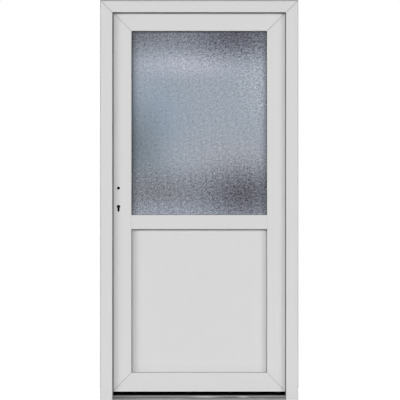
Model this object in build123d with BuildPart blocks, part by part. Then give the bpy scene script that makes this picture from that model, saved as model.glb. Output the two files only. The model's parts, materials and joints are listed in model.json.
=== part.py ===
from build123d import *
import os

# Side entrance door: a welded plastic frame, an inward-opening leaf and an aluminium threshold.
# It stands with +Z up. +Y points into the house, so the outside is seen along +Y.
# The origin is the middle of the threshold's underside. Lengths are in millimetres.

# Overall sizes of the frame
frame_width = 980.0
frame_height = 1980.0
frame_depth = 70.0

# Frame section, measured from the wall side inwards
frame_face = 59.6
stop_height = 20.0
stop_depth = 15.0
frame_outer_round = 1.5
anchor_groove_width = 10.0
anchor_groove_depth = 3.0
anchor_groove_offset = 20.0

# Seal let into the frame's upper front edge
head_seal_height = 3.5
head_seal_depth = 15.0

# Leaf section, measured from the leaf's edge inwards
rebate_air = 10.0
rebate_air_top = 7.5
seal_gap = 5.0
leaf_depth = 70.0
leaf_face = 104.2
overlap = 20.0
hardware_groove_width = 16.0
hardware_groove_setback = 20.0
faceplate_thickness = 3.0
hardware_channel_width = 10.0
hardware_channel_depth = 7.0

# Fields of the leaf
leaf_floor_height = 42.1
bottom_rail_face = 93.4
mid_rail_face = 70.0
mid_rail_height = 881.5
glazing_lip = 16.0
glazing_rebate = 22.0
glazing_play = 5.0
infill_thickness = 24.0
pane_thickness = 4.0
spacer_height = 7.0
spacer_inset = 4.0
bead_round = 9.0

# Gaskets
gasket_thickness = 4.0
gasket_cover = 16.0
gasket_show = 2.0
gasket_round = 0.8
stop_gasket_show = 5.0
stop_gasket_cover = 10.0
stop_gasket_round = 2.0
gasket_groove_inset = 4.0
gasket_groove_width = 3.0
gasket_groove_depth = 5.0
soft_clearance = 0.3

# Edge finish
edge_round = 2.0
weld_groove_width = 1.8
weld_groove_depth = 2.0

# Threshold
threshold_height = 24.5
sill_height = 11.0
tread_thickness = 11.0
tread_nose_radius = 9.0
tread_lip_round = 1.0
threshold_setback = 2.0
core_setback = 3.0
tread_ramp_width = 17.0
tread_ramp_drop = 7.0
tread_rib_count = 6
tread_rib_pitch = 5.0
tread_rib_width = 2.0
tread_rib_depth = 1.2
tread_rib_start = 2.0

# Bottom seal under the leaf
bottom_seal_setback = 6.0
bottom_seal_depth = 30.0
bottom_seal_carrier = 5.0
bottom_seal_fin = 3.0
bottom_seal_fin_count = 3
bottom_seal_end_gap = 2.0

# Lock, with its two holes in the lock stile
backset = 40.0
spindle_height = 1050.0
cylinder_distance = 92.0
spindle_hole_radius = 7.25
cylinder_radius = 8.75
cylinder_slot_width = 10.5
cylinder_total_height = 33.5
lock_case_thickness = 15.0
lock_case_beyond_spindle = 18.0
lock_case_above_spindle = 45.0
lock_case_below_cylinder = 35.0
lock_case_web = 1.0
lock_case_clearance = 0.25
follower_radius = 9.0
follower_square = 10.0
follower_clearance = 0.05
faceplate_above_spindle = 95.0
faceplate_below_cylinder = 98.0
latch_above_spindle = 6.0
latch_height = 32.0
latch_width = 11.0
latch_throw = 2.0
latch_bevel = 1.8
dead_bolt_below_spindle = 46.0
dead_bolt_height = 34.0
dead_bolt_width = 9.0
dead_bolt_throw = 0.5
bolt_clearance = 0.3

# Strike plate on the lock jamb
strike_width = 24.0
strike_thickness = 2.0
strike_pocket_depth = 10.0
strike_margin = 2.0

# Hinges on the inside of the hinge stile
hinge_height = 110.0
hinge_end_distance = 200.0
hinge_axis_offset = 16.0
hinge_barrel_radius = 10.0
hinge_pin_radius = 5.0
hinge_pin_clearance = 0.05
hinge_knuckle_height = 40.0
hinge_knuckle_gap = 0.3
hinge_leaf_plate_width = 50.0
hinge_leaf_plate_thickness = 5.0
hinge_arm_thickness = 8.0
hinge_base_width = 20.0
hinge_base_thickness = 9.0
hinge_cap_thickness = 3.0
hinge_plate_round = 4.0
hinge_edge_round = 1.2
hinge_cap_round = 1.5

# Planes of the section, from outside to inside
frame_outside = -frame_depth / 2
frame_inside = frame_depth / 2
stop_back = frame_outside + stop_depth
leaf_outside = stop_back + seal_gap
leaf_inside = leaf_outside + leaf_depth
flap_back = frame_inside + seal_gap
lip_back = leaf_outside + glazing_lip
infill_outside = lip_back + gasket_thickness
infill_inside = infill_outside + infill_thickness
bead_front = infill_inside + gasket_thickness
hardware_plane = flap_back - hardware_groove_setback

# Lines across the front
half_width = frame_width / 2
rebate_base = frame_face - stop_height
leaf_half_width = half_width - rebate_base - rebate_air
sight_half_width = leaf_half_width - leaf_face
field_half_width = sight_half_width + glazing_rebate
leaf_top = frame_height - rebate_base - rebate_air_top
panel_low = leaf_floor_height + bottom_rail_face
panel_high = mid_rail_height - mid_rail_face / 2
glass_low = mid_rail_height + mid_rail_face / 2
glass_high = leaf_top - leaf_face
leaf_low = panel_low - leaf_face

# Places of the lock
lock_edge = -leaf_half_width
spindle_x = lock_edge + backset
cylinder_height = spindle_height - cylinder_distance
latch_centre = spindle_height + latch_above_spindle
dead_bolt_centre = spindle_height - dead_bolt_below_spindle

# Places of the hinges
hinge_x = leaf_half_width + overlap + hinge_axis_offset
hinge_y = leaf_inside + hinge_leaf_plate_thickness
hinge_low = leaf_floor_height + hinge_end_distance
hinge_high = leaf_top - hinge_end_distance
hinge_heights = {
    "lower": hinge_low,
    "middle": (hinge_low + hinge_high) / 2,
    "upper": hinge_high,
}

# Ways that a sketch plane can face: along the door with Y across, to the outside or to the inside
across_door = dict(x_dir=(0, 1, 0), z_dir=(1, 0, 0))
facing_out = dict(x_dir=(1, 0, 0), z_dir=(0, -1, 0))
facing_in = dict(x_dir=(1, 0, 0), z_dir=(0, 1, 0))

# Rectangles that the mitred bars run round: left, right, bottom and top
frame_field = (-half_width, half_width, 0.0, frame_height)
leaf_field = (-leaf_half_width, leaf_half_width, leaf_low, leaf_top)
glass_field = (-field_half_width, field_half_width, glass_low - glazing_rebate, glass_high + glazing_rebate)
panel_field = (-field_half_width, field_half_width, panel_low - glazing_rebate, panel_high + glazing_rebate)


def frame_section():
    """Jamb and head section: a stop lip outside, a rebate for the leaf, anchor grooves to the wall."""
    groove_start = frame_face - gasket_groove_inset
    groove_end = groove_start - gasket_groove_width
    groove_floor = stop_back - gasket_groove_depth
    with BuildSketch() as section:
        with BuildLine():
            Polyline(
                (0, frame_outside),
                (frame_face, frame_outside),
                (frame_face, stop_back),
                (groove_start, stop_back),
                (groove_start, groove_floor),
                (groove_end, groove_floor),
                (groove_end, stop_back),
                (rebate_base, stop_back),
                (rebate_base, frame_inside),
                (0, frame_inside),
                close=True,
            )
        make_face()
        rounded = section.vertices().filter_by(lambda v: v.X > groove_start or v.Y == frame_inside)
        fillet(rounded.filter_by(lambda v: v.X > 0), edge_round)
        fillet(section.vertices().filter_by(lambda v: v.X == 0), frame_outer_round)
        for side in (-1, 1):
            with Locations((anchor_groove_depth / 2, side * anchor_groove_offset)):
                Rectangle(anchor_groove_depth, anchor_groove_width, mode=Mode.SUBTRACT)
    return section.sketch


def leaf_section():
    """Stile and rail section: a glazing lip outside, a flap over the frame inside, a hardware groove."""
    groove_start = -overlap + gasket_groove_inset
    groove_end = groove_start + gasket_groove_width
    groove_floor = flap_back + gasket_groove_depth
    rebate_foot = leaf_face - glazing_rebate
    with BuildSketch() as section:
        with BuildLine():
            Polyline(
                (0, leaf_outside),
                (leaf_face, leaf_outside),
                (leaf_face, lip_back),
                (rebate_foot, lip_back),
                (rebate_foot, leaf_inside),
                (-overlap, leaf_inside),
                (-overlap, flap_back),
                (groove_start, flap_back),
                (groove_start, groove_floor),
                (groove_end, groove_floor),
                (groove_end, flap_back),
                (0, flap_back),
                close=True,
            )
        make_face()
        corners = section.vertices()
        sight_corner = corners.filter_by(lambda v: v.X == leaf_face and v.Y == leaf_outside)
        flap_corners = corners.filter_by(lambda v: v.X == -overlap)
        fillet(sight_corner + flap_corners, edge_round)
        with Locations((faceplate_thickness / 2, hardware_plane)):
            Rectangle(faceplate_thickness, hardware_groove_width, mode=Mode.SUBTRACT)
        channel_middle = faceplate_thickness + hardware_channel_depth / 2
        with Locations((channel_middle, hardware_plane)):
            Rectangle(hardware_channel_depth, hardware_channel_width, mode=Mode.SUBTRACT)
    return section.sketch


def bead_section():
    """Glazing bead, from the rebate's foot to the sight line, with its room-side corner rounded."""
    depth = leaf_inside - bead_front
    with BuildSketch() as section:
        with Locations((glazing_rebate / 2, bead_front + depth / 2)):
            Rectangle(glazing_rebate, depth)
        room_corner = section.vertices().group_by(Axis.Y)[-1].sort_by(Axis.X)[-1]
        fillet(room_corner, bead_round)
    return section.sketch


def glazing_gasket_section(front):
    """Flat glazing gasket that stands a little past the sight line, with a rounded inner edge."""
    width = gasket_cover + gasket_show
    with BuildSketch() as section:
        with Locations((glazing_rebate + gasket_show - width / 2, front + gasket_thickness / 2)):
            Rectangle(width, gasket_thickness)
        fillet(section.vertices().group_by(Axis.X)[-1], gasket_round)
    return section.sketch


def stop_gasket_section(edge, face, inwards, lift):
    """Stop gasket with its foot in a groove.

    The edge is the lip's end and inwards is the way to the groove. The face is the lip's sealing face, and
    lift is the way that the gasket stands off it.
    """
    head_height = seal_gap - soft_clearance
    head_width = stop_gasket_cover + (stop_gasket_show if inwards < 0 else 0)
    head_start = edge - inwards * (stop_gasket_show if inwards < 0 else 0)
    foot_middle = edge + inwards * (gasket_groove_inset + gasket_groove_width / 2)
    with BuildSketch() as section:
        with Locations((head_start + inwards * head_width / 2, face + lift * head_height / 2)):
            Rectangle(head_width, head_height)
        outer = section.vertices().sort_by_distance((head_start, face))[0:1]
        outer += section.vertices().sort_by_distance((head_start, face + lift * head_height))[0:1]
        fillet(outer, stop_gasket_round)
        with Locations((foot_middle, face - lift * gasket_groove_depth / 2)):
            Rectangle(gasket_groove_width, gasket_groove_depth)
    return section.sketch


def mitred_bar(section, field, side, mitres, overhang=0.0, welded_faces=()):
    """One bar of a rectangular frame, cut at 45 degrees. Its section runs from the field's edge inwards.

    Where bars are welded, a narrow shadow groove follows the seam on each of the welded faces.
    """
    left, right, low, high = field
    start, across, along, length = {
        "left": ((left, 0, low - overhang), (1, 0, 0), (0, 0, 1), high - low),
        "right": ((right, 0, high + overhang), (-1, 0, 0), (0, 0, -1), high - low),
        "top": ((left - overhang, 0, high), (0, 0, -1), (1, 0, 0), right - left),
        "bottom": ((right + overhang, 0, low), (0, 0, 1), (-1, 0, 0), right - left),
    }[side]
    inward = {"left": (1, 0), "right": (-1, 0), "top": (0, -1), "bottom": (0, 1)}[side]
    with BuildPart() as bar:
        with BuildSketch(Plane(origin=start, x_dir=across, z_dir=along)):
            add(section)
        extrude(amount=length + 2 * overhang)
        for corner in mitres:
            corner_x = left if "left" in corner else right
            corner_z = low if "low" in corner else high
            away_x = 1 if corner_x == left else -1
            away_z = 1 if corner_z == low else -1
            keep = (-inward[0] + away_x * abs(inward[1]), 0, -inward[1] + away_z * abs(inward[0]))
            split(bisect_by=Plane(origin=(corner_x, 0, corner_z), z_dir=keep), keep=Keep.TOP)
            for face in welded_faces:
                seam = Plane(origin=(corner_x, face, corner_z), x_dir=(0, 1, 0), z_dir=(away_x, 0, away_z))
                with BuildSketch(seam):
                    Rectangle(2 * weld_groove_depth, weld_groove_width)
                extrude(amount=2 * leaf_face, both=True, mode=Mode.SUBTRACT)
    return bar.part


def ring(section, field):
    """Four mitred bars joined into one closed ring."""
    with BuildPart() as closed:
        for side, mitres in full_mitres.items():
            add(mitred_bar(section, field, side, mitres))
    return closed.part


full_mitres = {
    "left": ("left_low", "left_high"),
    "right": ("right_low", "right_high"),
    "top": ("left_high", "right_high"),
    "bottom": ("left_low", "right_low"),
}
top_mitres = {"left": ("left_high",), "right": ("right_high",), "top": ("left_high", "right_high")}


def three_sided_seal(section, field, foot_height, overhang=0.0):
    """A gasket up one side, over the top and down the other, cut off level at its feet."""
    with BuildPart() as seal:
        for side, mitres in top_mitres.items():
            add(mitred_bar(section, field, side, mitres, overhang))
        split(bisect_by=Plane.XY.offset(foot_height), keep=Keep.TOP)
    return seal.part


def save(part, name):
    """Labels a finished piece and writes it."""
    part.label = name
    export_step(part, f"parts/{name}.step")


def head_seal():
    """Dark strip along the frame's upper front edge that seals against the lintel."""
    with BuildPart() as strip:
        with BuildSketch(Plane.XY.offset(frame_height - head_seal_height)):
            with Locations((0, frame_outside + head_seal_depth / 2)):
                Rectangle(frame_width, head_seal_depth)
        extrude(amount=head_seal_height)
    return strip.part


def frame_bar(side):
    """One welded bar of the frame, with the rebate for the head seal."""
    faces = (frame_outside, frame_inside)
    with BuildPart() as bar:
        add(mitred_bar(frame_section(), frame_field, side, top_mitres[side], welded_faces=faces))
        add(head_seal(), mode=Mode.SUBTRACT)
    return bar.part


def lock_jamb():
    """Jamb on the lock side, with pockets behind the strike plate."""
    with BuildPart() as jamb:
        add(frame_bar("left"))
        with BuildSketch(Plane(origin=(rebate_base - half_width, 0, 0), **across_door)):
            bolt_openings()
        extrude(amount=-strike_pocket_depth, mode=Mode.SUBTRACT)
    return jamb.part


def bolt_openings():
    """Openings for the latch and the dead bolt, in a sketch whose X is across the door and Y is up."""
    for centre, height, width in (
        (latch_centre, latch_height, latch_width),
        (dead_bolt_centre, dead_bolt_height, dead_bolt_width),
    ):
        with Locations((hardware_plane, centre)):
            Rectangle(width + 2 * strike_margin, height + 2 * strike_margin)


def strike_plate():
    """Flat plate on the lock jamb's rebate, with openings for the two bolts."""
    low = dead_bolt_centre - dead_bolt_height
    high = latch_centre + latch_height
    with BuildPart() as plate:
        with BuildSketch(Plane(origin=(rebate_base - half_width, 0, 0), **across_door)):
            with Locations((hardware_plane, (low + high) / 2)):
                RectangleRounded(strike_width, high - low, edge_round)
        extrude(amount=strike_thickness)
        with BuildSketch(Plane(origin=(rebate_base - half_width, 0, 0), **across_door)):
            bolt_openings()
        extrude(amount=strike_thickness, mode=Mode.SUBTRACT)
    return plate.part


def cylinder_outline():
    """Cut-out for a profile cylinder: a round top and a narrower slot with a round foot."""
    slot_radius = cylinder_slot_width / 2
    foot = cylinder_radius - cylinder_total_height + slot_radius
    with BuildSketch() as outline:
        Circle(cylinder_radius)
        with Locations((0, foot / 2)):
            Rectangle(cylinder_slot_width, -foot)
        with Locations((0, foot)):
            Circle(slot_radius)
    return outline.sketch


def leaf_bar(side):
    """One welded bar of the leaf, cut level above the threshold."""
    faces = (leaf_outside, leaf_inside)
    with BuildPart() as trimmed:
        add(mitred_bar(leaf_section(), leaf_field, side, full_mitres[side], overlap, faces))
        split(bisect_by=Plane.XY.offset(leaf_floor_height), keep=Keep.TOP)
    return trimmed.part


def lock_stile():
    """Stile on the lock side, with a pocket for the lock case and holes for spindle and cylinder."""
    case_low = cylinder_height - lock_case_below_cylinder - lock_case_clearance
    case_high = spindle_height + lock_case_above_spindle + lock_case_clearance
    pocket_end = spindle_x + lock_case_beyond_spindle + lock_case_clearance
    pocket_width = lock_case_thickness + 2 * lock_case_clearance
    front = Plane(origin=(spindle_x, leaf_outside, 0), **facing_out)
    with BuildPart() as stile:
        add(leaf_bar("left"))
        with BuildSketch(Plane.XY.offset(case_low)):
            with Locations(((lock_edge + pocket_end) / 2, hardware_plane)):
                Rectangle(pocket_end - lock_edge, pocket_width)
        extrude(amount=case_high - case_low, mode=Mode.SUBTRACT)
        with BuildSketch(front):
            with Locations((0, spindle_height)):
                Circle(spindle_hole_radius)
            with Locations((0, cylinder_height)):
                add(cylinder_outline())
        extrude(amount=-leaf_depth, mode=Mode.SUBTRACT)
    return stile.part


def lock_case():
    """Mortice lock case behind the faceplate, with a seat for the follower and a cylinder opening."""
    case_low = cylinder_height - lock_case_below_cylinder
    case_high = spindle_height + lock_case_above_spindle
    case_front = lock_edge + faceplate_thickness
    case_back = spindle_x + lock_case_beyond_spindle
    face = hardware_plane - lock_case_thickness / 2
    opening_depth = (lock_case_thickness - lock_case_web) / 2
    with BuildPart() as case:
        with BuildSketch(Plane.XY.offset(case_low)):
            with Locations(((case_front + case_back) / 2, hardware_plane)):
                Rectangle(case_back - case_front, lock_case_thickness)
        extrude(amount=case_high - case_low)
        with BuildSketch(Plane(origin=(spindle_x, face, 0), **facing_out)):
            with Locations((0, spindle_height)):
                Circle(follower_radius + follower_clearance)
        extrude(amount=-lock_case_thickness, mode=Mode.SUBTRACT)
        for depth in (0, lock_case_thickness - opening_depth):
            with BuildSketch(Plane(origin=(spindle_x, face + depth, 0), **facing_out)):
                with Locations((0, cylinder_height)):
                    add(cylinder_outline())
            extrude(amount=-opening_depth, mode=Mode.SUBTRACT)
    return case.part


def lock_follower():
    """Follower that takes the handle's square spindle from each side."""
    face = hardware_plane - lock_case_thickness / 2
    socket_depth = (lock_case_thickness - lock_case_web) / 2
    with BuildPart() as follower:
        with BuildSketch(Plane(origin=(spindle_x, face, spindle_height), **facing_out)):
            Circle(follower_radius)
        extrude(amount=-lock_case_thickness)
        for depth in (0, lock_case_thickness - socket_depth):
            socket = Plane(origin=(spindle_x, face + depth, spindle_height), **facing_out)
            with BuildSketch(socket):
                Rectangle(follower_square, follower_square)
            extrude(amount=-socket_depth, mode=Mode.SUBTRACT)
    return follower.part


def faceplate():
    """Lock faceplate, flush in the leaf's edge, with openings for the two bolts."""
    low = cylinder_height - faceplate_below_cylinder
    high = spindle_height + faceplate_above_spindle
    edge_plane = Plane(origin=(lock_edge, 0, 0), **across_door)
    with BuildPart() as plate:
        with BuildSketch(edge_plane):
            with Locations((hardware_plane, (low + high) / 2)):
                SlotOverall(high - low, hardware_groove_width, rotation=90)
            for centre, height, width in (
                (latch_centre, latch_height, latch_width),
                (dead_bolt_centre, dead_bolt_height, dead_bolt_width),
            ):
                with Locations((hardware_plane, centre)):
                    Rectangle(width + 2 * bolt_clearance, height + 2 * bolt_clearance, mode=Mode.SUBTRACT)
        extrude(amount=faceplate_thickness)
    return plate.part


def bolt(centre, height, width, throw, bevel=0.0):
    """A bolt seated on the lock case that stands out of the faceplate by its throw."""
    with BuildPart() as block:
        with BuildSketch(Plane(origin=(lock_edge - throw, 0, 0), **across_door)):
            with Locations((hardware_plane, centre)):
                Rectangle(width, height)
        extrude(amount=faceplate_thickness + throw)
        if bevel > 0:
            nose = block.edges().filter_by(Axis.Z).group_by(Axis.X)[0].sort_by(Axis.Y)[-1]
            chamfer(nose, bevel)
    return block.part


def mid_rail():
    """Rail between the two fields: a wide lip outside and a web that reaches into the stiles' rebates."""
    web_width = mid_rail_face - 2 * glazing_rebate
    with BuildPart() as rail:
        with BuildSketch(Plane(origin=(-sight_half_width, 0, mid_rail_height), **across_door)) as lip:
            with Locations(((leaf_outside + lip_back) / 2, 0)):
                Rectangle(glazing_lip, mid_rail_face)
            fillet(lip.vertices().group_by(Axis.Y)[0], edge_round)
        extrude(amount=2 * sight_half_width)
        with BuildSketch(Plane(origin=(-field_half_width, 0, mid_rail_height), **across_door)):
            with Locations(((lip_back + leaf_inside) / 2, 0)):
                Rectangle(leaf_inside - lip_back, web_width)
        extrude(amount=2 * field_half_width)
    return rail.part


def sheet(field, front, thickness):
    """A pane or panel that lies in a field's rebate with play all round."""
    left, right, low, high = field
    with BuildPart() as pane:
        with BuildSketch(Plane(origin=(0, front, (low + high) / 2), **facing_out)):
            Rectangle(right - left - 2 * glazing_play, high - low - 2 * glazing_play)
        extrude(amount=-thickness)
    return pane.part


def spacer_bar():
    """Hollow-glass spacer between the two panes, near their edges."""
    cavity = infill_thickness - 2 * pane_thickness
    bar_middle = glazing_play + spacer_inset + spacer_height / 2
    with BuildSketch() as section:
        with Locations((bar_middle, infill_outside + infill_thickness / 2)):
            Rectangle(spacer_height, cavity)
    return ring(section.sketch, glass_field)


def bottom_seal():
    """Black sealing strip under the leaf: a carrier with fins that hang to the threshold."""
    front = leaf_outside + bottom_seal_setback
    top = leaf_floor_height
    fin_height = top - bottom_seal_carrier - threshold_height - soft_clearance
    half_length = leaf_half_width - bottom_seal_end_gap
    fin_pitch = (bottom_seal_depth - bottom_seal_fin) / (bottom_seal_fin_count - 1)
    with BuildPart() as seal:
        with BuildSketch(Plane(origin=(-half_length, 0, 0), **across_door)):
            with Locations((front + bottom_seal_depth / 2, top - bottom_seal_carrier / 2)):
                Rectangle(bottom_seal_depth, bottom_seal_carrier)
            for fin in range(bottom_seal_fin_count):
                fin_middle = front + bottom_seal_fin / 2 + fin * fin_pitch
                with Locations((fin_middle, top - bottom_seal_carrier - fin_height / 2)):
                    Rectangle(bottom_seal_fin, fin_height)
        extrude(amount=2 * half_length)
    return seal.part


def threshold_bar(outline):
    """Extrudes a threshold section between the jambs and notches its ends round the jambs' stop lips."""
    half_length = half_width - rebate_base
    notch_depth = stop_back - frame_outside
    with BuildPart() as bar:
        with BuildSketch(Plane(origin=(-half_length, 0, 0), **across_door)):
            add(outline)
        extrude(amount=2 * half_length)
        with BuildSketch(Plane.XY):
            for side in (-1, 1):
                with Locations((side * (half_length - stop_height / 2), frame_outside + notch_depth / 2)):
                    Rectangle(stop_height, notch_depth)
        extrude(amount=threshold_height, mode=Mode.SUBTRACT)
    return bar.part


def threshold_sill():
    """Aluminium base of the threshold."""
    front = frame_outside + threshold_setback
    with BuildSketch() as outline:
        with Locations(((front + frame_inside) / 2, sill_height / 2)):
            Rectangle(frame_inside - front, sill_height)
    return threshold_bar(outline.sketch)


def threshold_core():
    """Plastic thermal break between the sill and the tread."""
    front = frame_outside + threshold_setback + core_setback
    back = frame_inside - core_setback
    top = threshold_height - tread_thickness
    with BuildSketch() as outline:
        with Locations(((front + back) / 2, (sill_height + top) / 2)):
            Rectangle(back - front, top - sill_height)
    return threshold_bar(outline.sketch)


def threshold_tread():
    """Aluminium tread with a rounded nose, a ramp to the inside and fine ribs for grip."""
    front = frame_outside + threshold_setback
    low = threshold_height - tread_thickness
    ramp_start = frame_inside - tread_ramp_width
    with BuildSketch() as outline:
        with BuildLine():
            Polyline(
                (front, low),
                (frame_inside, low),
                (frame_inside, threshold_height - tread_ramp_drop),
                (ramp_start, threshold_height),
                (front, threshold_height),
                close=True,
            )
        make_face()
        fillet(outline.vertices().group_by(Axis.Y)[-1].sort_by(Axis.X)[0], tread_nose_radius)
        fillet(outline.vertices().group_by(Axis.Y)[0].sort_by(Axis.X)[0], tread_lip_round)
        for rib in range(tread_rib_count):
            rib_middle = front + tread_nose_radius + tread_rib_start + rib * tread_rib_pitch
            with Locations((rib_middle + tread_rib_width / 2, threshold_height - tread_rib_depth / 2)):
                Rectangle(tread_rib_width, tread_rib_depth, mode=Mode.SUBTRACT)
    return threshold_bar(outline.sketch)


def hinge_frame_part(height):
    """Frame half of a hinge: a base on the jamb's inside face with an upper and a lower knuckle."""
    low = height - hinge_height / 2
    knuckle = (hinge_height - hinge_knuckle_height) / 2
    base_middle = (frame_inside + hinge_y) / 2
    with BuildPart() as half:
        with BuildSketch(Plane.XY.offset(low)):
            with Locations((hinge_x, frame_inside + hinge_base_thickness / 2)):
                Rectangle(hinge_base_width, hinge_base_thickness)
        extrude(amount=hinge_height)
        for start in (low, low + hinge_height - knuckle):
            with BuildSketch(Plane.XY.offset(start)):
                with Locations((hinge_x, base_middle)):
                    Rectangle(2 * hinge_barrel_radius, hinge_y - frame_inside)
                with Locations((hinge_x, hinge_y)):
                    Circle(hinge_barrel_radius)
                    Circle(hinge_pin_radius + hinge_pin_clearance, mode=Mode.SUBTRACT)
            extrude(amount=knuckle)
    return half.part


def hinge_leaf_part(height):
    """Leaf half of a hinge: a plate on the leaf's inside face and an arm to the middle knuckle."""
    plate_edge = leaf_half_width + overlap - edge_round
    plate_middle = plate_edge - hinge_leaf_plate_width / 2
    arm_start = plate_edge - hinge_plate_round
    knuckle = hinge_knuckle_height - 2 * hinge_knuckle_gap
    with BuildPart() as half:
        with BuildSketch(Plane(origin=(plate_middle, leaf_inside, height), **facing_in)):
            RectangleRounded(hinge_leaf_plate_width, hinge_height, hinge_plate_round)
        extrude(amount=hinge_leaf_plate_thickness)
        fillet(half.faces().sort_by(Axis.Y)[-1].edges(), hinge_edge_round)
        with BuildSketch(Plane.XY.offset(height - knuckle / 2)):
            with Locations(((arm_start + hinge_x) / 2, leaf_inside + hinge_arm_thickness / 2)):
                Rectangle(hinge_x - arm_start, hinge_arm_thickness)
            with Locations((hinge_x, hinge_y)):
                Circle(hinge_barrel_radius)
                Circle(hinge_pin_radius + hinge_pin_clearance, mode=Mode.SUBTRACT)
        extrude(amount=knuckle)
    return half.part


def hinge_pin(height):
    """Hinge pin with a cap at each end of the barrel."""
    cap_low = height - hinge_height / 2 - hinge_cap_thickness
    with BuildPart() as pin:
        with BuildSketch(Plane.XY.offset(cap_low)):
            with Locations((hinge_x, hinge_y)):
                Circle(hinge_pin_radius)
        extrude(amount=hinge_height + 2 * hinge_cap_thickness)
        for start in (cap_low, height + hinge_height / 2):
            with BuildSketch(Plane.XY.offset(start)):
                with Locations((hinge_x, hinge_y)):
                    Circle(hinge_barrel_radius)
            extrude(amount=hinge_cap_thickness)
        rims = pin.edges().filter_by(GeomType.CIRCLE).group_by(Axis.Z)
        fillet(rims[0] + rims[-1], hinge_cap_round)
    return pin.part


os.makedirs("parts", exist_ok=True)

# Frame
save(lock_jamb(), "lock_jamb")
save(frame_bar("right"), "hinge_jamb")
save(frame_bar("top"), "frame_head")
save(head_seal(), "head_seal")
save(strike_plate(), "strike_plate")
frame_gasket = stop_gasket_section(frame_face, stop_back, -1, 1)
save(three_sided_seal(frame_gasket, frame_field, threshold_height), "frame_gasket")

# Threshold
save(threshold_sill(), "threshold_sill")
save(threshold_core(), "threshold_core")
save(threshold_tread(), "threshold_tread")

# Leaf
save(lock_stile(), "lock_stile")
save(leaf_bar("right"), "hinge_stile")
save(leaf_bar("top"), "top_rail")
save(leaf_bar("bottom"), "bottom_rail")
save(mid_rail(), "mid_rail")
flap_gasket = stop_gasket_section(-overlap, flap_back, 1, -1)
save(three_sided_seal(flap_gasket, leaf_field, leaf_floor_height, overlap), "leaf_gasket")
save(bottom_seal(), "bottom_seal")

# Infills with their gaskets and beads
save(sheet(glass_field, infill_outside, pane_thickness), "outer_pane")
save(sheet(glass_field, infill_inside - pane_thickness, pane_thickness), "inner_pane")
save(spacer_bar(), "spacer_bar")
save(sheet(panel_field, infill_outside, infill_thickness), "lower_panel")
for field, name in ((glass_field, "glass"), (panel_field, "panel")):
    save(ring(glazing_gasket_section(lip_back), field), f"{name}_outer_gasket")
    save(ring(glazing_gasket_section(infill_inside), field), f"{name}_inner_gasket")
    for side, mitres in full_mitres.items():
        save(mitred_bar(bead_section(), field, side, mitres), f"{name}_bead_{side}")

# Lock
save(lock_case(), "lock_case")
save(lock_follower(), "lock_follower")
save(faceplate(), "lock_faceplate")
save(bolt(latch_centre, latch_height, latch_width, latch_throw, latch_bevel), "latch_bolt")
save(bolt(dead_bolt_centre, dead_bolt_height, dead_bolt_width, dead_bolt_throw), "dead_bolt")

# Hinges
for place, height in hinge_heights.items():
    save(hinge_frame_part(height), f"{place}_hinge_frame_part")
    save(hinge_leaf_part(height), f"{place}_hinge_leaf_part")
    save(hinge_pin(height), f"{place}_hinge_pin")
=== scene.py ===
import json
import math
import bpy
import numpy as np
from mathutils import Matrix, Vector


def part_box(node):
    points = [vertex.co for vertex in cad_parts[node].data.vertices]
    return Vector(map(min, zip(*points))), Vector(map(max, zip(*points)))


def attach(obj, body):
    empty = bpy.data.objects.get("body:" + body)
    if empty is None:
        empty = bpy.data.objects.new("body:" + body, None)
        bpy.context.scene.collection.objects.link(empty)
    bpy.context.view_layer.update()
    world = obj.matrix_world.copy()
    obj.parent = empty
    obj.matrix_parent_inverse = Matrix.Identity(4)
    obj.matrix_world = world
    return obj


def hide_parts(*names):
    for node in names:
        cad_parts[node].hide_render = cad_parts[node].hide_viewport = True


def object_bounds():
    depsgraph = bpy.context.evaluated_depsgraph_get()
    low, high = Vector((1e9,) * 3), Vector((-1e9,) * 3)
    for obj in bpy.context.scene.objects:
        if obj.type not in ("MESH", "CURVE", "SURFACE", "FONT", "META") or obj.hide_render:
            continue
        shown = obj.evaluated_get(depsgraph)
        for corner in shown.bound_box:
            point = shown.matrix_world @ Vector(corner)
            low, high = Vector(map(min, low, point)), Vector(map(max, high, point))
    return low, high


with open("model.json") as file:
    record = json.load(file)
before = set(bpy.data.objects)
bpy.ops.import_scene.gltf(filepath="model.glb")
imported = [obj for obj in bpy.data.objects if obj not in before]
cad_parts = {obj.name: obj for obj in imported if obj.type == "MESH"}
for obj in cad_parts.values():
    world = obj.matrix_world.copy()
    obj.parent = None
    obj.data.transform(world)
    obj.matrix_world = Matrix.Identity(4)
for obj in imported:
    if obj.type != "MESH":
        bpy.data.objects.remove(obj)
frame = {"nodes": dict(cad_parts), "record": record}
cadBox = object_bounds()
scene = bpy.context.scene
scene.view_settings.view_transform = "Standard"
nodes = frame["nodes"]
mm = 0.001
print("frame loaded:", len(nodes), "nodes")

# camera: straight on, from far away, with the door filling the picture's height
cameraSettings = {
    "distance": 25.0,      # metres from the outside face
    "sensor": 36.0,
    "sideStep": 3.6 * mm,  # the door stands a hair left of the picture's middle
    "heightShown": 1.9805,
    "lift": 0.9 * mm,      # of the picture's middle above half that height
    "clipEnd": 100.0,
}


def makeCamera(s):
    face = cadBox[0].y
    data = bpy.data.cameras.new("frontCamera")
    data.sensor_width = s["sensor"]
    data.lens = s["sensor"] * s["distance"] / s["heightShown"]
    data.clip_end = s["clipEnd"]
    camera = bpy.data.objects.new("frontCamera", data)
    camera.location = (s["sideStep"], face - s["distance"], s["heightShown"] / 2 + s["lift"])
    camera.rotation_euler = (math.pi / 2, 0.0, 0.0)
    scene.collection.objects.link(camera)
    scene.camera = camera


makeCamera(cameraSettings)
print("camera ready")


# shader helpers: every value is a link or a fixed number
def setSocket(tree, socket, value):
    if isinstance(value, bpy.types.NodeSocket):
        tree.links.new(value, socket)
    else:
        socket.default_value = value


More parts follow.
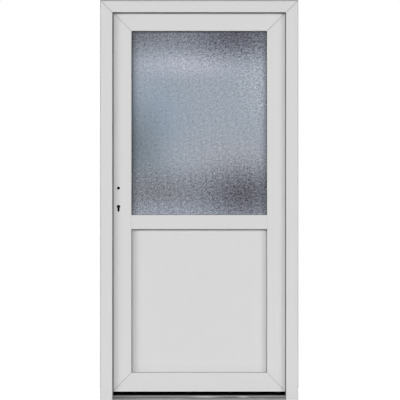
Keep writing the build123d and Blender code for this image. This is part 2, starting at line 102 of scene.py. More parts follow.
def mathValue(tree, operation, *values, clamp=False):
    node = tree.nodes.new("ShaderNodeMath")
    node.operation = operation
    node.use_clamp = clamp
    for socket, value in zip(node.inputs, values):
        setSocket(tree, socket, value)
    return node.outputs["Value"]


def mathVector(tree, operation, *values):
    node = tree.nodes.new("ShaderNodeVectorMath")
    node.operation = operation
    for socket, value in zip(node.inputs, values):
        setSocket(tree, socket, value)
    return node.outputs["Value" if operation == "LENGTH" else "Vector"]


def mixed(tree, kind, mask, before, after):
    # one value or colour over another by a mask
    node = tree.nodes.new("ShaderNodeMix")
    node.data_type = kind
    first, second = [socket for socket in node.inputs if socket.enabled and socket.name in ("A", "B")]
    tree.links.new(mask, node.inputs["Factor"])
    setSocket(tree, first, before)
    setSocket(tree, second, after)
    return next(socket for socket in node.outputs if socket.enabled)


def spreadValue(tree, mask, low, high):
    node = tree.nodes.new("ShaderNodeMapRange")
    node.inputs["To Min"].default_value = low
    node.inputs["To Max"].default_value = high
    tree.links.new(mask, node.inputs["Value"])
    return node.outputs["Result"]


def addBump(tree, shader, height, strength, distance):
    bump = tree.nodes.new("ShaderNodeBump")
    bump.inputs["Strength"].default_value = strength
    bump.inputs["Distance"].default_value = distance
    tree.links.new(height, bump.inputs["Height"])
    tree.links.new(bump.outputs["Normal"], shader.inputs["Normal"])


# studio: a white surround for the eye, a plain soft light for the surfaces
studio = {
    "ambient": 0.15,
    "white": (1.0, 1.0, 1.0, 1.0),
    "floorRadius": 1.6,
    "floorSteps": 96,
    "floorTone": (0.30, 0.30, 0.30, 1.0),
    "floorSeen": (0.55, 0.55, 0.55, 1.0),  # the floor as the eye sees it
    "floorGlow": 0.77,     # lifts the lit floor to white for the eye, and leaves its shadows
    "suns": {
        # name: (way that the light goes, strength, degrees across)
        "keySun": ((0.5, 1.0, -0.5), 0.81, 6.0),
        "leftSun": ((1.55, 1.0, -0.3), 1.72, 28.0),
        "rightSun": ((-1.25, 1.0, -0.3), 1.38, 28.0),
    },
    "lampAim": (0.0, 0.0, 1.0),
    "lamps": {
        # name: (place, size across, size up, watts)
        "backLeft": ((-3.0, 3.4, 1.2), 1.8, 2.6, 130.0),
        "backRight": ((3.0, 3.4, 1.2), 1.8, 2.6, 130.0),
    },
}


def seenSurround(tree):
    # one for the rays that show the surround itself: to the eye, in a mirror or through glass
    path = tree.nodes.new("ShaderNodeLightPath").outputs
    mirrored = mathValue(tree, "MAXIMUM", path["Is Camera Ray"], path["Is Glossy Ray"])
    return mathValue(tree, "MAXIMUM", mirrored, path["Is Transmission Ray"])


def makeSurround(s):
    world = bpy.data.worlds.new("whiteSurround")
    scene.world = world
    world.use_nodes = True
    tree = world.node_tree
    tree.nodes.clear()
    light = tree.nodes.new("ShaderNodeBackground")
    light.inputs["Color"].default_value = s["white"]
    strength = mathValue(tree, "MULTIPLY_ADD", seenSurround(tree), 1.0 - s["ambient"], s["ambient"])
    tree.links.new(strength, light.inputs["Strength"])
    out = tree.nodes.new("ShaderNodeOutputWorld")
    tree.links.new(light.outputs["Background"], out.inputs["Surface"])


def makeFloor(s):
    # a disc: one ring of points round the origin
    turn = np.linspace(0.0, 2.0 * np.pi, s["floorSteps"], endpoint=False)
    spots = s["floorRadius"] * np.stack([np.cos(turn), np.sin(turn), np.zeros_like(turn)], axis=-1)
    mesh = bpy.data.meshes.new("floor")
    mesh.from_pydata(spots.tolist(), [], [list(range(len(spots)))])
    floor = bpy.data.objects.new("floor", mesh)
    scene.collection.objects.link(floor)
    material = bpy.data.materials.new("paleFloor")
    material.use_nodes = True
    tree = material.node_tree
    tree.nodes.clear()
    matt = tree.nodes.new("ShaderNodeBsdfDiffuse")
    glow = tree.nodes.new("ShaderNodeEmission")
    seen = seenSurround(tree)
    tree.links.new(mixed(tree, "RGBA", seen, s["floorTone"], s["floorSeen"]), matt.inputs["Color"])
    tree.links.new(mathValue(tree, "MULTIPLY", seen, s["floorGlow"]), glow.inputs["Strength"])
    both = tree.nodes.new("ShaderNodeAddShader")
    out = tree.nodes.new("ShaderNodeOutputMaterial")
    tree.links.new(matt.outputs["BSDF"], both.inputs[0])
    tree.links.new(glow.outputs["Emission"], both.inputs[1])
    tree.links.new(both.outputs["Shader"], out.inputs["Surface"])
    mesh.materials.append(material)


def makeLights(s):
    for name, (way, strength, across) in s["suns"].items():
        sun = bpy.data.lights.new(name, "SUN")
        sun.energy = strength
        sun.angle = math.radians(across)
        holder = bpy.data.objects.new(name, sun)
        holder.visible_transmission = False
        holder.rotation_euler = Vector(way).to_track_quat("-Z", "Y").to_euler()
        scene.collection.objects.link(holder)
    for name, (place, across, up, watts) in s["lamps"].items():
        lamp = bpy.data.lights.new(name, "AREA")
        lamp.shape = "RECTANGLE"
        lamp.size = across
        lamp.size_y = up
        lamp.energy = watts
        holder = bpy.data.objects.new(name, lamp)
        holder.location = place
        holder.visible_glossy = False
        holder.visible_transmission = False
        holder.rotation_euler = (Vector(s["lampAim"]) - Vector(place)).to_track_quat("-Z", "Y").to_euler()
        scene.collection.objects.link(holder)


makeSurround(studio)
makeFloor(studio)
makeLights(studio)
print("studio ready")


# shared effects, on Object coordinates
def makeGroup(name, inputs, outputs):
    tree = bpy.data.node_groups.new(name, "ShaderNodeTree")
    for label, kind, value in inputs:
        socket = tree.interface.new_socket(name=label, in_out="INPUT", socket_type=kind)
        socket.default_value = value
    for label, kind in outputs:
        tree.interface.new_socket(name=label, in_out="OUTPUT", socket_type=kind)
    given = tree.nodes.new("NodeGroupInput").outputs
    made = tree.nodes.new("NodeGroupOutput").inputs
    place = tree.nodes.new("ShaderNodeTexCoord").outputs["Object"]
    return tree, given, made, place


def addNoise(tree, place, scale, detail):
    noise = tree.nodes.new("ShaderNodeTexNoise")
    noise.inputs["Detail"].default_value = detail
    setSocket(tree, noise.inputs["Scale"], scale)
    tree.links.new(place, noise.inputs["Vector"])
    return noise.outputs["Fac"]


def drawnGrainGroup(detail=4.0):
    # noise stretched along the way a bar was drawn, spread round one half
    tree, given, made, place = makeGroup(
        "drawnGrain",
        [("Stretch", "NodeSocketVector", (1.0, 1.0, 1.0)), ("Scale", "NodeSocketFloat", 40.0),
         ("Contrast", "NodeSocketFloat", 1.0)],
        [("Value", "NodeSocketFloat")],
    )
    stretched = mathVector(tree, "MULTIPLY", place, given["Stretch"])
    centred = mathValue(tree, "SUBTRACT", addNoise(tree, stretched, given["Scale"], detail), 0.5)
    spread = mathValue(tree, "MULTIPLY_ADD", centred, given["Contrast"], 0.5, clamp=True)
    tree.links.new(spread, made["Value"])
    return tree


def fineSkinGroup(smallDetail=2.0, broadDetail=3.0, broadScale=9.0):
    # small noise for the skin of moulded or coated surfaces, and broad noise for their uneven gloss
    tree, given, made, place = makeGroup(
        "fineSkin",
        [("Scale", "NodeSocketFloat", 400.0)],
        [("Height", "NodeSocketFloat"), ("Mottle", "NodeSocketFloat")],
    )
    tree.links.new(addNoise(tree, place, given["Scale"], smallDetail), made["Height"])
    tree.links.new(addNoise(tree, place, broadScale, broadDetail), made["Mottle"])
    return tree


def softPatchGroup():
    # falls smoothly from the share at a place to nothing at its reach
    tree, given, made, place = makeGroup(
        "softPatch",
        [("Place", "NodeSocketVector", (0.0, 0.0, 0.0)), ("Nearness", "NodeSocketVector", (1.0, 0.0, 1.0)),
         ("Share", "NodeSocketFloat", 1.0)],
        [("Value", "NodeSocketFloat")],
    )
    away = mathVector(tree, "SUBTRACT", place, given["Place"])
    far = mathVector(tree, "LENGTH", mathVector(tree, "MULTIPLY", away, given["Nearness"]))
    fall = tree.nodes.new("ShaderNodeMapRange")
    fall.interpolation_type = "SMOOTHSTEP"
    fall.inputs["To Min"].default_value = 1.0
    fall.inputs["To Max"].default_value = 0.0
    tree.links.new(far, fall.inputs["Value"])
    tree.links.new(mathValue(tree, "MULTIPLY", fall.outputs["Result"], given["Share"]), made["Value"])
    return tree


drawnGrain = drawnGrainGroup()
fineSkin = fineSkinGroup()
softPatch = softPatchGroup()


def startMaterial(name):
    material = bpy.data.materials.new(name)
    material.use_nodes = True
    tree = material.node_tree
    tree.nodes.clear()
    shader = tree.nodes.new("ShaderNodeBsdfPrincipled")
    out = tree.nodes.new("ShaderNodeOutputMaterial")
    tree.links.new(shader.outputs["BSDF"], out.inputs["Surface"])
    return material, tree, shader


def useGroup(tree, group, **values):
    node = tree.nodes.new("ShaderNodeGroup")
    node.node_tree = group
    for label, value in values.items():
        node.inputs[label].default_value = value
    return node.outputs


def patchMask(tree, across, up, reachAcross, reachUp, share):
    return useGroup(tree, softPatch, Place=(across, 0.0, up), Share=share,
                    Nearness=(1.0 / reachAcross, 0.0, 1.0 / reachUp))["Value"]


def drawnMaterial(name, s):
    # a bar or sheet with faint lines along its length, a fine skin and, on some, soft patches of painted
    # light and shade
    material, tree, shader = startMaterial(name)
    grain = useGroup(tree, drawnGrain, Stretch=s["stretch"], Scale=s["grainScale"], Contrast=s["contrast"])
    skin = useGroup(tree, fineSkin, Scale=s["skinScale"])
    colour = mixed(tree, "RGBA", grain["Value"], (*s["low"], 1.0), (*s["high"], 1.0))
    for *place, tint in s.get("patches", {}).values():
        colour = mixed(tree, "RGBA", patchMask(tree, *place), colour, (*tint, 1.0))
    tree.links.new(colour, shader.inputs["Base Color"])
    tree.links.new(spreadValue(tree, skin["Mottle"], *s["roughness"]), shader.inputs["Roughness"])
    shader.inputs["Metallic"].default_value = s.get("metallic", 0.0)
    shader.inputs["Specular IOR Level"].default_value = s.get("specular", 0.5)
    addBump(tree, shader, skin["Height"], s["bump"], s["bumpDepth"])
    return material


upright = (1.0, 1.0, 0.02)
level = (0.02, 1.0, 1.0)
evenly = (1.0, 1.0, 1.0)
whitePlastic = {
    "stretch": upright, "grainScale": 70.0, "contrast": 1.2,
    "low": (0.690, 0.690, 0.690), "high": (0.715, 0.715, 0.715),
    "roughness": (0.30, 0.42), "skinScale": 900.0, "bump": 0.05, "bumpDepth": 0.2 * mm,
}
# each patch: (middle across, middle up, reach across, reach up, share, tint), in metres
finishes = {
    "whitePlasticUpright": whitePlastic,
    "whitePlasticLevel": {**whitePlastic, "stretch": level},
    "whitePanelSheet": {**whitePlastic, "stretch": (1.0, 1.0, 0.3), "grainScale": 25.0,
                        "roughness": (0.38, 0.46), "skinScale": 500.0,
                        "patches": {
                            # painted shade: darker at the panel's foot and in a soft line along its right
                            # edge
                            "footShade": (0.0, 0.135, 3.0, 0.050, 1.0, (0.645, 0.645, 0.645)),
                            "rightShade": (0.337, 0.48, 0.011, 6.0, 1.0, (0.30, 0.30, 0.30)),
                        }},
    "greyGasket": {"stretch": evenly, "grainScale": 120.0, "contrast": 1.0,
                   "low": (0.10, 0.10, 0.102), "high": (0.13, 0.13, 0.132),
                   "roughness": (0.55, 0.75), "skinScale": 1500.0, "bump": 0.2, "bumpDepth": 0.1 * mm,
                   "specular": 0.3},
    "blackSeal": {"stretch": level, "grainScale": 90.0, "contrast": 1.0,
                  "low": (0.0004, 0.0004, 0.0004), "high": (0.0012, 0.0012, 0.0012),
                  "roughness": (0.7, 0.9), "skinScale": 1200.0, "bump": 0.2, "bumpDepth": 0.1 * mm,
                  "specular": 0.0},
    "drawnAluminium": {"stretch": (0.03, 1.0, 1.0), "grainScale": 260.0, "contrast": 1.6,
                       "low": (0.15, 0.15, 0.152), "high": (0.27, 0.27, 0.273),
                       "roughness": (0.30, 0.48), "skinScale": 900.0, "bump": 0.08, "bumpDepth": 0.1 * mm,
                       "metallic": 1.0,
                       "patches": {
                           # painted shade at the left end, painted highlights along the front in the middle
                           # and towards the right
                           "dullEnd": (-0.46, 0.010, 0.20, 0.060, 0.85, (0.12, 0.12, 0.122)),
                           "middleShine": (0.03, 0.0155, 0.10, 0.008, 0.70, (0.55, 0.55, 0.55)),
                           "rightShine": (0.217, 0.0155, 0.045, 0.008, 0.70, (0.55, 0.55, 0.55)),
                       }},
    "spacerMetal": {"stretch": evenly, "grainScale": 200.0, "contrast": 1.0,
                    "low": (0.38, 0.38, 0.39), "high": (0.46, 0.46, 0.47),
                    "roughness": (0.35, 0.5), "skinScale": 1200.0, "bump": 0.1, "bumpDepth": 0.1 * mm,
                    "metallic": 1.0},
    "corePlastic": {"stretch": level, "grainScale": 80.0, "contrast": 1.0,
                    "low": (0.035, 0.035, 0.037), "high": (0.05, 0.05, 0.052),
                    "roughness": (0.5, 0.65), "skinScale": 900.0, "bump": 0.1, "bumpDepth": 0.1 * mm},
    "zincSteel": {"stretch": (1.0, 1.0, 0.05), "grainScale": 300.0, "contrast": 1.4,
                  "low": (0.45, 0.455, 0.46), "high": (0.58, 0.58, 0.58),
                  "roughness": (0.28, 0.42), "skinScale": 1400.0, "bump": 0.08, "bumpDepth": 0.05 * mm,
                  "metallic": 1.0},
    "darkSteel": {"stretch": (1.0, 1.0, 0.05), "grainScale": 200.0, "contrast": 1.0,
                  "low": (0.010, 0.010, 0.011), "high": (0.018, 0.018, 0.019),
                  "roughness": (0.45, 0.60), "skinScale": 1400.0, "bump": 0.08, "bumpDepth": 0.05 * mm,
                  "specular": 0.2},
    "hingeCoat": {"stretch": evenly, "grainScale": 60.0, "contrast": 1.0,
                  "low": (0.66, 0.66, 0.655), "high": (0.70, 0.70, 0.695),
                  "roughness": (0.32, 0.42), "skinScale": 1100.0, "bump": 0.15, "bumpDepth": 0.1 * mm},
}
materials = {name: drawnMaterial(name, s) for name, s in finishes.items()}


glassLook = {
    "body": (0.385, 0.435, 0.505),
    "tone": 0.96,
    "grain": 0.75,             # how strongly the relief's painted light and shade darkens and lightens the body
    "roughness": (0.22, 0.34),
    "skinScale": 160.0,
    "cloudStretch": (0.67, 1.0, 1.0),  # fine noise added to the relief's painted light and shade, seen from either side
    "cloudScale": 190.0,
    "cloudContrast": 1.55,
    "transmission": 0.12,
    "ior": 1.5,
    "patches": {
        # painted light and shade, as of a blurred scene seen in the glass; name: (middle across, middle up,
        # reach across, reach up, share, tint, grain), in metres
        "blueHeart": (-0.22, 1.41, 0.30, 0.34, 0.7, (0.31, 0.39, 0.485), 0.6),
        "rightGlow": (0.36, 1.58, 0.24, 0.30, 0.7, (0.50, 0.53, 0.60), 1.7),
        "upperStreak": (-0.04, 1.665, 0.42, 0.10, 0.75, (0.55, 0.57, 0.672), 1.1),
        "leftShade": (-0.36, 1.24, 0.29, 0.36, 0.78, (0.12, 0.16, 0.182), 0.9),
        "topLeftShade": (-0.32, 1.835, 0.50, 0.185, 0.86, (0.134, 0.131, 0.162), 2.2),
        "topRightShade": (0.18, 1.812, 0.44, 0.20, 0.9, (0.072, 0.069, 0.099), 3.2),
        "lowMist": (0.16, 1.20, 0.42, 0.22, 0.5, (0.415, 0.41, 0.453), 1.1),
        "lowLeftShade": (-0.20, 1.025, 0.42, 0.20, 0.8, (0.19, 0.187, 0.213), 1.95),
        "lowRightShade": (0.22, 1.02, 0.37, 0.235, 0.9, (0.081, 0.075, 0.100), 3.0),
        "lowGlow": (-0.17, 0.93, 0.31, 0.085, 0.7, (0.34, 0.362, 0.44), 1.6),
    },
}


def ownValue(tree, name):
    # a value that the piece carries at its own points
    node = tree.nodes.new("ShaderNodeAttribute")
    node.attribute_name = name
    return node.outputs["Fac"]


def ornamentGlass(s):
    # one body colour, soft patches of painted light and shade over it, the relief's painted light and shade
    # and a painted shade at the rim
    material, tree, shader = startMaterial("ornamentGlass")
    colour, grain = (*s["body"], 1.0), s["grain"]
    for *place, tint, patchGrain in s["patches"].values():
        mask = patchMask(tree, *place)
        colour = mixed(tree, "RGBA", mask, colour, (*tint, 1.0))
        grain = mixed(tree, "FLOAT", mask, grain, patchGrain)
    cloud = useGroup(tree, drawnGrain, Stretch=s["cloudStretch"], Scale=s["cloudScale"],
                     Contrast=s["cloudContrast"])
    crinkled = mathValue(tree, "ADD", ownValue(tree, "crinkle"), cloud["Value"])
    centred = mathValue(tree, "SUBTRACT", crinkled, 1.0)    # each of the two lies round one half
    strength = mathValue(tree, "MULTIPLY_ADD", centred, grain, s["tone"])
    shaded = mathValue(tree, "MULTIPLY", strength, ownValue(tree, "rimLight"))
    tree.links.new(mathVector(tree, "MULTIPLY", colour, shaded), shader.inputs["Base Color"])
    skin = useGroup(tree, fineSkin, Scale=s["skinScale"])
    tree.links.new(spreadValue(tree, skin["Mottle"], *s["roughness"]), shader.inputs["Roughness"])
    shader.inputs["Transmission Weight"].default_value = s["transmission"]
    shader.inputs["IOR"].default_value = s["ior"]
    return material


clearLook = {
    "low": (0.90, 0.94, 0.93, 1.0),
    "high": (0.94, 0.97, 0.96, 1.0),
    "roughness": (0.04, 0.07),
    "skinScale": 60.0,
    "ior": 1.5,
}


def clearGlass(s):
    material, tree, shader = startMaterial("clearGlass")
    skin = useGroup(tree, fineSkin, Scale=s["skinScale"])
    tree.links.new(mixed(tree, "RGBA", skin["Mottle"], s["low"], s["high"]), shader.inputs["Base Color"])
    tree.links.new(spreadValue(tree, skin["Mottle"], *s["roughness"]), shader.inputs["Roughness"])
    shader.inputs["Transmission Weight"].default_value = 1.0
    shader.inputs["IOR"].default_value = s["ior"]
    return material


materials["ornamentGlass"] = ornamentGlass(glassLook)
materials["clearGlass"] = clearGlass(clearLook)

finishBySlot = {
    "white_panel": "whitePanelSheet", "grey_gasket": "greyGasket", "black_seal": "blackSeal",
    "ornamental_glass": "ornamentGlass", "clear_glass": "clearGlass", "spacer_aluminium": "spacerMetal",
    "mill_aluminium": "drawnAluminium", "core_plastic": "corePlastic", "zinc_steel": "zincSteel",
    "white_hinge_metal": "hingeCoat", "dark_steel": "darkSteel",
}


def dressNode(name, slotName):
    if slotName == "white_pvc":
        low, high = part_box(name)
        finish = "whitePlasticUpright" if high[2] - low[2] > high[0] - low[0] else "whitePlasticLevel"
    else:
        finish = finishBySlot[slotName]
    data = nodes[name].data
    data.materials.clear()
    data.materials.append(materials[finish])


for entry in frame["record"]["subparts"]:
    dressNode(entry["node"], entry["material_slot"])


# mesh helpers
def addPiece(name, spots, faces, slotName, body, smooth=False):
    mesh = bpy.data.meshes.new(name)
    mesh.from_pydata(np.asarray(spots).tolist(), [], faces)
    mesh.polygons.foreach_set("use_smooth", np.broadcast_to(smooth, len(mesh.polygons)).copy())
    mesh.materials.append(materials[finishBySlot[slotName]])
    piece = bpy.data.objects.new(name, mesh)
    scene.collection.objects.link(piece)
    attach(piece, body)
    return piece


def gridFaces(rows, columns, wrapRows=False, wrapColumns=False):
    # quads between neighbours on a grid of points
    index = np.arange(rows * columns).reshape(rows, columns)
    here = index if wrapRows else index[:-1]
    down = np.roll(index, -1, axis=0) if wrapRows else index[1:]
    quads = np.stack([here, np.roll(here, -1, axis=1), np.roll(down, -1, axis=1), down], axis=-1)
    if not wrapColumns:
        quads = quads[:, :-1]
    return quads.reshape(-1, 4)


def repeated(faces, copies, points):
    # the same faces for every copy of a shape with that many points
    return (faces[None] + points * np.arange(copies)[:, None, None]).reshape(-1, faces.shape[1]).tolist()


def barFaces(corners):
    # a profile of that many corners carried from one end to another, with both ends closed
    ring = np.arange(corners)
    return gridFaces(2, corners, wrapColumns=True), np.stack([ring[::-1], ring + corners])


# obscure pane: a crinkled outer face, flat under the gaskets, over a flat back
paneSettings = {
    "pitch": 2.8 * mm,
    "depth": 0.9 * mm,
    "waves": 150,
    "shortest": 6.8 * mm,      # lengths of the waves, from here to the longest
    "longest": 60.0 * mm,
    "widen": 1.5,              # crinkles are a little longer across than up
    "contrast": 0.142,
    "flatRim": 16.0 * mm,
    "fadeRim": 10.0 * mm,
    "seed": 7,
    # painted shade by the glass's side edges; side: (share at the sight edge, reach from it)
    "rimShade": {"left": (1.0, 6.5 * mm), "right": (0.9, 7.5 * mm)},
}


def crinkle(x, z, s):
    # sum of plane waves with random headings, lengths and phases, spread round one half
    dice = np.random.default_rng(s["seed"])
    heading = dice.uniform(0.0, np.pi, s["waves"])[:, None, None]
    fineness = np.sqrt(dice.uniform((s["shortest"] / s["longest"]) ** 2, 1.0, s["waves"]))[:, None, None]
    phase = dice.uniform(0.0, 2.0 * np.pi, s["waves"])[:, None, None]
    along = x / s["widen"] * np.cos(heading) + z * np.sin(heading)
    waves = np.sin(2.0 * np.pi / s["shortest"] * fineness * along + phase).sum(axis=0)
    return np.clip(0.5 + s["contrast"] * waves / waves.std(), 0.0, 1.0)


def rimLight(x, s):
    # one, less a painted shade that dies away from the sight edge of either stile
    inside = {"left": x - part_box("lock_stile")[1][0], "right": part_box("hinge_stile")[0][0] - x}
    light = np.ones_like(x)
    for side, (share, reach) in s["rimShade"].items():
        light *= 1.0 - share * np.exp(-np.maximum(inside[side], 0.0) / reach)
    return light


def crinkledPane(s):
    low, high = (np.array(corner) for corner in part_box("outer_pane"))
    steps = np.round((high - low) / s["pitch"]).astype(int) + 1
    x, z = np.meshgrid(np.linspace(low[0], high[0], steps[0]), np.linspace(low[2], high[2], steps[2]))
    relief = crinkle(x, z, s)
    # the outer face goes in by the relief, times a fade that is nothing on the rim
    edge = np.minimum(np.minimum(x - low[0], high[0] - x), np.minimum(z - low[2], high[2] - z))
    fade = np.clip((edge - s["flatRim"]) / s["fadeRim"], 0.0, 1.0)
    front = np.stack([x, low[1] + s["depth"] * relief * fade, z], axis=-1).reshape(-1, 3)
    back = np.array([(low[0], high[1], low[2]), (high[0], high[1], low[2]),
                     (high[0], high[1], high[2]), (low[0], high[1], high[2])])
    faces = gridFaces(*x.shape).tolist()
    frontCount = len(faces)
    # the back is one flat face, and each edge is a fan from a back corner
    index = np.arange(x.size).reshape(x.shape)
    rims = [index[0, :], index[:, -1], index[-1, ::-1], index[::-1, 0]]
    corners = x.size + np.arange(len(rims))
    for rim, corner, nextCorner in zip(rims, corners, np.roll(corners, -1)):
        faces += np.stack([rim[1:], rim[:-1], np.full(len(rim) - 1, corner)], axis=-1).tolist()
        faces.append([int(rim[-1]), int(corner), int(nextCorner)])
    faces.append(corners[::-1].tolist())
    pane = addPiece("crinkledPane", np.concatenate([front, back]), faces, "ornamental_glass", "leaf",
                    smooth=np.arange(len(faces)) < frontCount)
    # point values for the glass's colour: the relief, for its painted light and shade, and the painted rim
    # shade
    for name, values, rest in (("crinkle", relief, 0.5), ("rimLight", rimLight(x, s), 1.0)):
        own = pane.data.attributes.new(name, "FLOAT", "POINT")
        own.data.foreach_set("value", np.append(values.ravel(), np.full(len(back), rest)).astype(np.float32))
    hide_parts("outer_pane")


crinkledPane(paneSettings)
print("obscure pane made")


# grey strips lying in the weld grooves of the mitres, on both faces, as painted shade in the grooves
seamSettings = {
    "frameWidth": 1.4 * mm,
    "leafWidth": 1.0 * mm,
    "under": 0.5 * mm,          # below the profile's face
    "thickness": 1.4 * mm,
    "endGap": 2.5 * mm,         # short of the rounded edges
}


def seamShadeStrips(name, body, width, seams, s):
    # a flat bar's four corners, carried along each mitre from its inner to its outer end
    x, z, wayX, wayZ, run, face, inward = np.array(seams).T
    way = np.stack([wayX, np.zeros_like(wayX), wayZ], axis=-1) / math.sqrt(2.0)
    side = np.stack([-way[:, 2], way[:, 1], way[:, 0]], axis=-1) * inward[:, None] * width / 2
    inner = np.stack([x, face, z], axis=-1)
    reach = np.stack([np.full_like(run, s["endGap"]), run * math.sqrt(2.0) - s["endGap"]], axis=-1)
    ends = inner[:, None, :] + way[:, None, :] * reach[:, :, None]
    across = np.array([1.0, -1.0, -1.0, 1.0])
    deep = s["under"] + s["thickness"] * np.array([0.0, 0.0, 1.0, 1.0])
    down = np.stack([np.zeros_like(inward), inward, np.zeros_like(inward)], axis=-1)
    spots = (ends[:, :, None, :] + side[:, None, None, :] * across[:, None]
             + down[:, None, None, :] * deep[:, None])
    sides, caps = barFaces(len(across))
    faces = repeated(np.concatenate([sides, caps]), len(seams), 2 * len(across))
    addPiece(name, spots.reshape(-1, 3), faces, "grey_gasket", body)


def weldSeams(s):
    # each seam: inner end, way outwards, run along either axis, height of the face, way into the profile
    jambLow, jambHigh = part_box("lock_jamb")
    headLow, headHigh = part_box("frame_head")
    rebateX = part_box("strike_plate")[0][0]
    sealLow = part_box("head_seal")[0][2]
    rebate = rebateX - jambLow[0]
    frameSeams = []
    for side in (1.0, -1.0):
        frameSeams += [
            (side * jambHigh[0], headLow[2], -side, 1.0, sealLow - headLow[2], headLow[1], 1.0),
            (side * rebateX, headHigh[2] - rebate, -side, 1.0, rebate, headHigh[1], -1.0),
        ]
    seamShadeStrips("frameSeams", "frame", s["frameWidth"], frameSeams, s)

    stileLow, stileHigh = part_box("lock_stile")
    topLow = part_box("top_rail")[0]
    bottomLow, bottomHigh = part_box("bottom_rail")
    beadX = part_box("glass_bead_left")[0][0]
    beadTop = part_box("glass_bead_top")[1][2]
    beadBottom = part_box("panel_bead_bottom")[0][2]
    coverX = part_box("lock_faceplate")[0][0]     # the leaf's outer edge on its outside face
    bottomRun = bottomHigh[2] - bottomLow[2]
    leafSeams = []
    for side in (1.0, -1.0):
        leafSeams += [
            (side * stileHigh[0], topLow[2], -side, 1.0, stileHigh[0] - coverX, stileLow[1], 1.0),
            (side * beadX, beadTop, -side, 1.0, beadX - stileLow[0], stileHigh[1], -1.0),
            (side * stileHigh[0], bottomHigh[2], -side, -1.0, bottomRun, stileLow[1], 1.0),
            (side * beadX, beadBottom, -side, -1.0, beadBottom - bottomLow[2], stileHigh[1], -1.0),
        ]
    seamShadeStrips("leafSeams", "leaf", s["leafWidth"], leafSeams, s)


weldSeams(seamSettings)
print("weld seams made")


# black strips in the rounded outer corners of the jambs' outside face, which darken those corners
stripSettings = {
    "rounding": 1.5 * mm,
    "clearance": 0.02 * mm,
    "arcSteps": 7,
}


def jambStrips(s):
    # the corner between two flat faces and a hollow arc, carried up the jamb
    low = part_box("lock_jamb")[0]
    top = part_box("head_seal")[0][2]
    turn = np.linspace(0.0, np.pi / 2, s["arcSteps"])
    arc = s["rounding"] - (s["rounding"] + s["clearance"]) * np.stack([np.cos(turn), np.sin(turn)])
    across, deep = np.concatenate([np.zeros((2, 1)), np.maximum(arc, 0.0)[:, ::-1]], axis=1)
    sides, caps = barFaces(len(across))
    spots = [np.stack([side * (low[0] + across), low[1] + deep, np.full_like(across, height)], axis=-1)
             for side in (1.0, -1.0) for height in ((low[2], top) if side > 0 else (top, low[2]))]
    faces = repeated(sides, 2, 2 * len(across)) + repeated(caps, 2, 2 * len(across))
    addPiece("jambStrips", np.concatenate(spots), faces, "black_seal", "frame")


jambStrips(stripSettings)
print("jamb strips made")


# black liners of the spindle and cylinder holes, one towards each face of the leaf, as painted shade inside
# the holes
linerSettings = {
    "wall": 0.25 * mm,
    "clearance": 0.05 * mm,
    "inset": 0.3 * mm,          # how far a liner stands back from the leaf's face
    "cylinderRadius": 8.75 * mm,
    "slotHalfWidth": 5.25 * mm,
    "cylinderHeight": 33.5 * mm,
    "cylinderBelow": 92.0 * mm,
    "steps": 40,
}


def keyholeOutline(s, shrink):
    # round head, then a narrower foot: head arc, foot arc and the straight sides between them
    head, foot = s["cylinderRadius"] - shrink, s["slotHalfWidth"] - shrink
    drop = s["cylinderRadius"] - s["cylinderHeight"] + s["slotHalfWidth"]
    neck = math.asin(foot / head)
    headTurn = np.linspace(-np.pi / 2 + neck, 1.5 * np.pi - neck, s["steps"])
    footTurn = np.linspace(np.pi, 2.0 * np.pi, s["steps"] // 2)
    across = np.concatenate([head * np.cos(headTurn), foot * np.cos(footTurn)])
    up = np.concatenate([head * np.sin(headTurn), drop + foot * np.sin(footTurn)])
    return across, up


def roundOutline(s, shrink):
    turn = np.linspace(0.0, 2.0 * np.pi, s["steps"], endpoint=False)
    return (s["radius"] - shrink) * np.cos(turn), (s["radius"] - shrink) * np.sin(turn)


def holeShadeLiners(s):
    mounts = {mount["name"]: mount for mount in frame["record"]["mounts"]}
    caseLow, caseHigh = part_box("lock_case")
    for side, start, end in (("outside", s["inset"], caseLow[1]), ("inside", -s["inset"], caseHigh[1])):
        mount = mounts[side + "_spindle_hole"]
        x, face, z = mount["pos_m"]
        holes = {"spindle": (roundOutline, {**s, "radius": mount["dims"]["r_mm"] * mm}, z),
                 "cylinder": (keyholeOutline, s, z - s["cylinderBelow"])}
        for label, (outline, sizes, height) in holes.items():
            # the outline, first shrunk by the clearance and then by the wall too, at both ends of the liner
            inner = outline(sizes, s["clearance"] + s["wall"])
            outer = outline(sizes, s["clearance"])
            ends = [(outer, face + start), (inner, face + start), (inner, end), (outer, end)]
            rings = [np.stack([x + across, np.full_like(across, y), height + up], axis=-1)
                     for (across, up), y in ends]
            faces = gridFaces(len(rings), len(rings[0]), wrapRows=True, wrapColumns=True)
            if end < face:
                faces = faces[:, ::-1]
            addPiece(label + "Liner." + side, np.concatenate(rings), faces.tolist(), "black_seal", "leaf")


holeShadeLiners(linerSettings)
print("hole liners made")


# countersunk screws with a cross recess in the hinge plates, the faceplate and the strike plate
screwSettings = {
    "radius": 4.0 * mm,
    "dome": 0.5 * mm,
    "sink": 0.4 * mm,
    "recess": 1.1 * mm,
    "arm": 0.65 * mm,           # half width of the cross
    "armReach": 2.5 * mm,
    "slope": 0.3,               # share of the arm that its flanks take
    "rings": 18,
    "spokes": 40,
    "hingeInsets": (13.0 * mm, 32.5 * mm),  # from the plate's free edge
    "hingeEndInset": 17.0 * mm,
    "hingePlate": 5.0 * mm,
    "plateEndInset": 9.0 * mm,
}


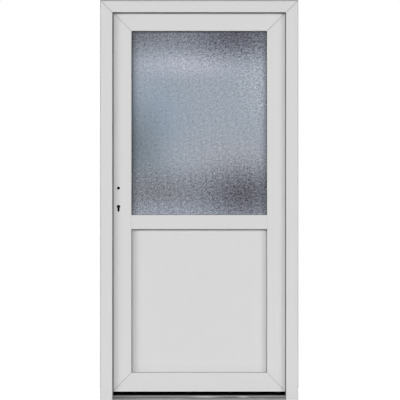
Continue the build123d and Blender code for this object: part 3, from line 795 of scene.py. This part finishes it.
def screwShape(s):
    # dome that falls with the square of the radius, less a cross that is deepest in the middle
    reach = np.linspace(0.0, 1.0, s["rings"] + 1)[1:, None] * s["radius"]
    turn = np.linspace(0.0, 2.0 * np.pi, s["spokes"], endpoint=False)[None, :]
    across, up = reach * np.cos(turn), reach * np.sin(turn)
    dome = s["dome"] * (1.0 - (reach / s["radius"]) ** 2)
    off = np.minimum(np.abs(across), np.abs(up))
    arm = np.clip((s["arm"] - off) / (s["slope"] * s["arm"]), 0.0, 1.0)
    length = np.clip((s["armReach"] - reach) / (s["slope"] * s["armReach"]), 0.0, 1.0)
    head = np.stack([across, up, dome - s["recess"] * arm * length], axis=-1).reshape(-1, 3)
    rim = head[-s["spokes"]:] - np.array([0.0, 0.0, s["sink"]])
    middle = np.array([[0.0, 0.0, s["dome"] - s["recess"]], [0.0, 0.0, -s["sink"]]])
    spots = np.concatenate([head, rim, middle])
    here = np.arange(s["spokes"])
    there = np.roll(here, -1)
    last = len(head)
    quads = gridFaces(s["rings"] + 1, s["spokes"], wrapColumns=True)[:, ::-1]
    fans = np.concatenate([
        np.stack([here, there, np.full_like(here, len(spots) - 2)], axis=-1),
        np.stack([last + there, last + here, np.full_like(here, len(spots) - 1)], axis=-1),
    ])
    return spots, quads, fans


def addScrews(name, places, outward, body, s):
    # the same screw at every place, its axis along the way outward
    spots, quads, fans = screwShape(s)
    sideways = np.array([0.0, 0.0, 1.0])
    turned = spots @ np.stack([sideways, np.cross(outward, sideways), np.array(outward)])
    points = (turned[None] + np.array(places)[:, None, :]).reshape(-1, 3)
    faces = repeated(quads, len(places), len(spots)) + repeated(fans, len(places), len(spots))
    addPiece(name, points, faces, "zinc_steel", body, smooth=True)


def makeScrews(s):
    hingePlaces = []
    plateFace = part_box("hinge_stile")[1][1] + s["hingePlate"]
    for place in ("lower", "middle", "upper"):
        low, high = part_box(place + "_hinge_leaf_part")
        hingePlaces += [(low[0] + inset, plateFace, height) for inset in s["hingeInsets"]
                        for height in (low[2] + s["hingeEndInset"], high[2] - s["hingeEndInset"])]
    addScrews("hingeScrews", hingePlaces, (0.0, 1.0, 0.0), "leaf", s)
    # plates screwed from the lock gap: node, body, way outward, and which end of its box is the face
    plates = [("lock_faceplate", "leaf", -1.0, 0), ("strike_plate", "frame", 1.0, 1)]
    for node, body, outward, face in plates:
        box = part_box(node)
        low, high = box
        places = [(box[face][0], (low[1] + high[1]) / 2, height)
                  for height in (low[2] + s["plateEndInset"], high[2] - s["plateEndInset"])]
        addScrews(node + "_screws", places, (outward, 0.0, 0.0), body, s)


makeScrews(screwSettings)
print("screws made")
